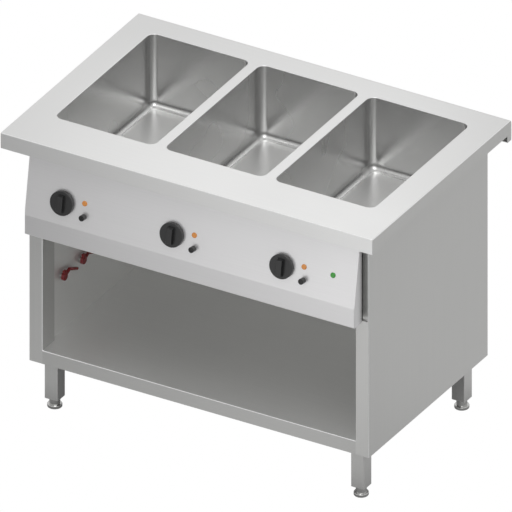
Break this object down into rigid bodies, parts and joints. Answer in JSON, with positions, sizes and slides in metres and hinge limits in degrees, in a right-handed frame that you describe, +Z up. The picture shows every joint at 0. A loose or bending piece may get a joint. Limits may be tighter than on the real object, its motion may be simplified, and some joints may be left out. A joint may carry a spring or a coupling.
{
  "type": "three-well steam table",
  "caption": "Free-standing electric steam table: folded stainless cabinet with pan wells, sloping control panel, open shelf, drain levers and levelling feet.",
  "frame": {"origin": "on the floor, under the middle of the worktop", "axes": "+X to the operator's right along the worktop, +Y from the control side to the rear, +Z up"},
  "size_m": [1.12, 0.725, 0.85],
  "materials": {
    "stainless_top": "satin, fine brushed",
    "stainless_well": "satin, more reflective inside",
    "stainless_panel": "satin",
    "stainless_body": "satin",
    "stainless_tube": "satin tube",
    "galvanised": "mill finish",
    "foot_metal": "polished",
    "black_knob": "semi-gloss black",
    "black_button": "semi-gloss black",
    "socket_plastic": "matt black",
    "amber_lens": "glossy amber",
    "green_lens": "glossy green",
    "red_plastic": "dark red",
    "valve_brass": "nickelled brass",
    "pipe_steel": "stainless pipe",
    "heater_cast": "as cast",
    "case_zinc": "zinc plated",
    "terminal_plastic": "natural nylon",
    "gland_plastic": "black nylon"
  },
  "bodies": {
    "cabinet": {"worktop": "stainless_top", "long_stiffeners": "galvanised", "bridge_ribs": "galvanised", "back_panel": "stainless_body", "back_screws": "case_zinc", "bottom_shelf": "stainless_body", "shelf_rails": "galvanised", "service_ceiling": "stainless_body", "control_panel": "stainless_panel", "control_box": "stainless_body", "terminal_block": "terminal_plastic", "cable_gland": "gland_plastic", "foot_sockets": "socket_plastic", "lamp_power": "green_lens", "side_panel_left": "stainless_body", "side_panel_right": "stainless_body", "side_liner_left": "stainless_body", "side_liner_right": "stainless_body", "well_left": "stainless_well", "heater_left": "heater_cast", "thermostat_left": "case_zinc", "limiter_left": "black_button", "lamp_left": "amber_lens", "drain_pipe_left": "pipe_steel", "drain_valve_left": "valve_brass", "well_middle": "stainless_well", "heater_middle": "heater_cast", "thermostat_middle": "case_zinc", "limiter_middle": "black_button", "lamp_middle": "amber_lens", "drain_pipe_middle": "pipe_steel", "drain_valve_middle": "valve_brass", "well_right": "stainless_well", "heater_right": "heater_cast", "thermostat_right": "case_zinc", "limiter_right": "black_button", "lamp_right": "amber_lens", "drain_pipe_right": "pipe_steel", "drain_valve_right": "valve_brass", "leg_front_left": "stainless_tube", "leg_front_right": "stainless_tube", "leg_rear_left": "stainless_tube", "leg_rear_right": "stainless_tube"},
    "knob_left": {"knob_left": "black_knob", "thermostat_shaft_left": "case_zinc"},
    "reset_left": {"reset_button_left": "black_button"},
    "valve_left": {"valve_lever_left": "red_plastic"},
    "knob_middle": {"knob_middle": "black_knob", "thermostat_shaft_middle": "case_zinc"},
    "reset_middle": {"reset_button_middle": "black_button"},
    "valve_middle": {"valve_lever_middle": "red_plastic"},
    "knob_right": {"knob_right": "black_knob", "thermostat_shaft_right": "case_zinc"},
    "reset_right": {"reset_button_right": "black_button"},
    "valve_right": {"valve_lever_right": "red_plastic"},
    "foot_front_left": {"foot_front_left": "foot_metal"},
    "foot_front_right": {"foot_front_right": "foot_metal"},
    "foot_rear_left": {"foot_rear_left": "foot_metal"},
    "foot_rear_right": {"foot_rear_right": "foot_metal"}
  },
  "joints": [
    {"name": "knob_left_turn", "type": "hinge", "parent": "cabinet", "child": "knob_left", "pos_m": [-0.386, -0.33685, 0.677], "axis": [0, 0.9874, -0.1582], "range_deg": [0, 270]},
    {"name": "reset_left_press", "type": "slide", "parent": "cabinet", "child": "reset_left", "axis": [0, 0.9874, -0.1582], "range_m": [0, 0.0025], "stiffness_N_per_m": 600},
    {"name": "valve_left_turn", "type": "hinge", "parent": "cabinet", "child": "valve_left", "pos_m": [-0.49485, 0.013, 0.355], "axis": [-1, 0, 0], "range_deg": [0, 90]},
    {"name": "knob_middle_turn", "type": "hinge", "parent": "cabinet", "child": "knob_middle", "pos_m": [-0.056, -0.33685, 0.677], "axis": [0, 0.9874, -0.1582], "range_deg": [0, 270]},
    {"name": "reset_middle_press", "type": "slide", "parent": "cabinet", "child": "reset_middle", "axis": [0, 0.9874, -0.1582], "range_m": [0, 0.0025], "stiffness_N_per_m": 600},
    {"name": "valve_middle_turn", "type": "hinge", "parent": "cabinet", "child": "valve_middle", "pos_m": [-0.49485, -0.086, 0.355], "axis": [-1, 0, 0], "range_deg": [0, 90]},
    {"name": "knob_right_turn", "type": "hinge", "parent": "cabinet", "child": "knob_right", "pos_m": [0.274, -0.33685, 0.677], "axis": [0, 0.9874, -0.1582], "range_deg": [0, 270]},
    {"name": "reset_right_press", "type": "slide", "parent": "cabinet", "child": "reset_right", "axis": [0, 0.9874, -0.1582], "range_m": [0, 0.0025], "stiffness_N_per_m": 600},
    {"name": "valve_right_turn", "type": "hinge", "parent": "cabinet", "child": "valve_right", "pos_m": [-0.49485, -0.185, 0.355], "axis": [-1, 0, 0], "range_deg": [0, 90]},
    {"name": "foot_front_left_height", "type": "slide", "parent": "cabinet", "child": "foot_front_left", "axis": [0, 0, -1], "range_m": [-0.012, 0.02]},
    {"name": "foot_front_right_height", "type": "slide", "parent": "cabinet", "child": "foot_front_right", "axis": [0, 0, -1], "range_m": [-0.012, 0.02]},
    {"name": "foot_rear_left_height", "type": "slide", "parent": "cabinet", "child": "foot_rear_left", "axis": [0, 0, -1], "range_m": [-0.012, 0.02]},
    {"name": "foot_rear_right_height", "type": "slide", "parent": "cabinet", "child": "foot_rear_right", "axis": [0, 0, -1], "range_m": [-0.012, 0.02]}
  ]
}
